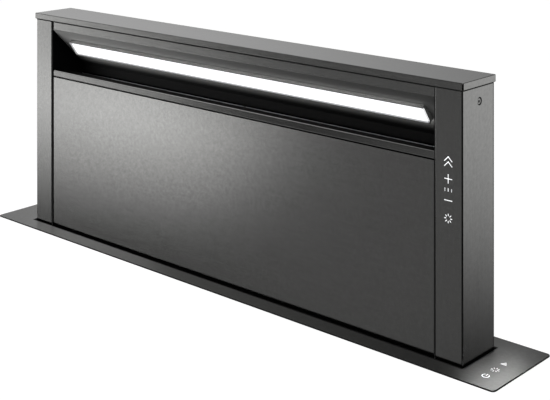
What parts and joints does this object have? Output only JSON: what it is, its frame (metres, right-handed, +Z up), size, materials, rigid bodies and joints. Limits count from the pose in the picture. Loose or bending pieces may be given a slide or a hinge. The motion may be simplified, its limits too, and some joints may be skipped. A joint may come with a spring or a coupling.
{
  "type": "downdraft vent",
  "caption": "Retractable downdraft vent: slim tower with a lit slanted intake rises from a worktop plate over a casing with blower, outlet and flaps.",
  "frame": {"origin": "centre of the plate, on the surface of the worktop that it rests on", "axes": "+X to the right of the cook, -Y to the front, +Z up along the lift"},
  "size_m": [0.9006, 0.3041, 0.9658],
  "materials": {
    "black_steel": "satin brushed anthracite stainless steel",
    "plate_steel": "satin brushed anthracite stainless steel",
    "zinc_sheet": "galvanised sheet, plain",
    "bright_steel": "ground bright steel",
    "aluminium": "plain milled or anodised",
    "black_plastic": "moulded, fine matte",
    "acetal": "moulded acetal, plain",
    "brass": "cut brass gear",
    "rubber": "closed-cell foam strip",
    "circuit_board": "green solder mask",
    "opal_lens": "opal light diffuser, lit"
  },
  "bodies": {
    "casing": {"worktop_plate": "plate_steel", "plate_gasket": "rubber", "plate_key_board": "circuit_board", "casing_front": "zinc_sheet", "casing_back": "zinc_sheet", "casing_end_left": "zinc_sheet", "casing_end_right": "zinc_sheet", "casing_bottom": "zinc_sheet", "rack_left": "bright_steel", "rack_right": "bright_steel", "guide_rod_left": "bright_steel", "guide_rod_right": "bright_steel", "rod_bracket_top_left": "aluminium", "rod_bracket_top_right": "aluminium", "rod_bracket_bottom_left": "aluminium", "rod_bracket_bottom_right": "aluminium", "worktop_clamp_front_left": "zinc_sheet", "worktop_clamp_front_right": "zinc_sheet", "worktop_clamp_back_left": "zinc_sheet", "worktop_clamp_back_right": "zinc_sheet", "floor_bracket_left": "zinc_sheet", "floor_bracket_right": "zinc_sheet", "blower_box": "zinc_sheet", "blower_cover": "zinc_sheet", "volute_front": "zinc_sheet", "volute_back": "zinc_sheet", "blower_motor": "black_plastic", "outlet_collar": "zinc_sheet", "damper_pin": "bright_steel", "control_box": "black_plastic", "cable_gland": "black_plastic"},
    "tower": {"top_cap": "black_steel", "column_left": "black_steel", "column_right": "black_steel", "front_panel": "black_steel", "rear_panel": "black_steel", "sill_rail": "black_steel", "light_deflector": "black_steel", "light_channel": "black_steel", "light_lens": "opal_lens", "filter_frame": "zinc_sheet", "filter_left": "aluminium", "filter_right": "aluminium", "base_frame": "zinc_sheet", "lift_gearbox": "aluminium", "lift_motor": "bright_steel", "shaft_bearing_left": "acetal", "shaft_bearing_right": "acetal", "carriage_left": "aluminium", "carriage_right": "aluminium", "guide_bush_left": "acetal", "guide_bush_right": "acetal", "tower_key_board": "circuit_board"},
    "drive_shaft": {"cross_shaft": "bright_steel", "pinion_left": "brass", "pinion_right": "brass"},
    "blower_wheel": {"blower_wheel": "black_plastic"},
    "flap_front": {"flap_front": "aluminium"},
    "flap_back": {"flap_back": "aluminium"}
  },
  "joints": [
    {"name": "tower_lift", "type": "slide", "parent": "casing", "child": "tower", "axis": [0, 0, 1], "range_m": [-0.313, 0]},
    {"name": "drive_shaft_turn", "type": "hinge", "parent": "tower", "child": "drive_shaft", "pos_m": [0, 0, -0.066], "axis": [1, 0, 0], "range_deg": [-1, 1290]},
    {"name": "blower_wheel_spin", "type": "hinge", "parent": "casing", "child": "blower_wheel", "pos_m": [0.015, -0.1403, -0.51], "axis": [0, 1, 0], "continuous": true},
    {"name": "flap_front_swing", "type": "hinge", "parent": "casing", "child": "flap_front", "pos_m": [-0.1883, -0.1403, -0.422], "axis": [0, 0, -1], "range_deg": [0, 75], "stiffness_Nm_per_rad": 0.02},
    {"name": "flap_back_swing", "type": "hinge", "parent": "casing", "child": "flap_back", "pos_m": [-0.1883, -0.1403, -0.422], "axis": [0, 0, 1], "range_deg": [0, 75], "stiffness_Nm_per_rad": 0.02}
  ],
  "couplings": [
    {"joint": "drive_shaft_turn", "follows": "tower_lift", "rad_per_m": -71.429}
  ]
}
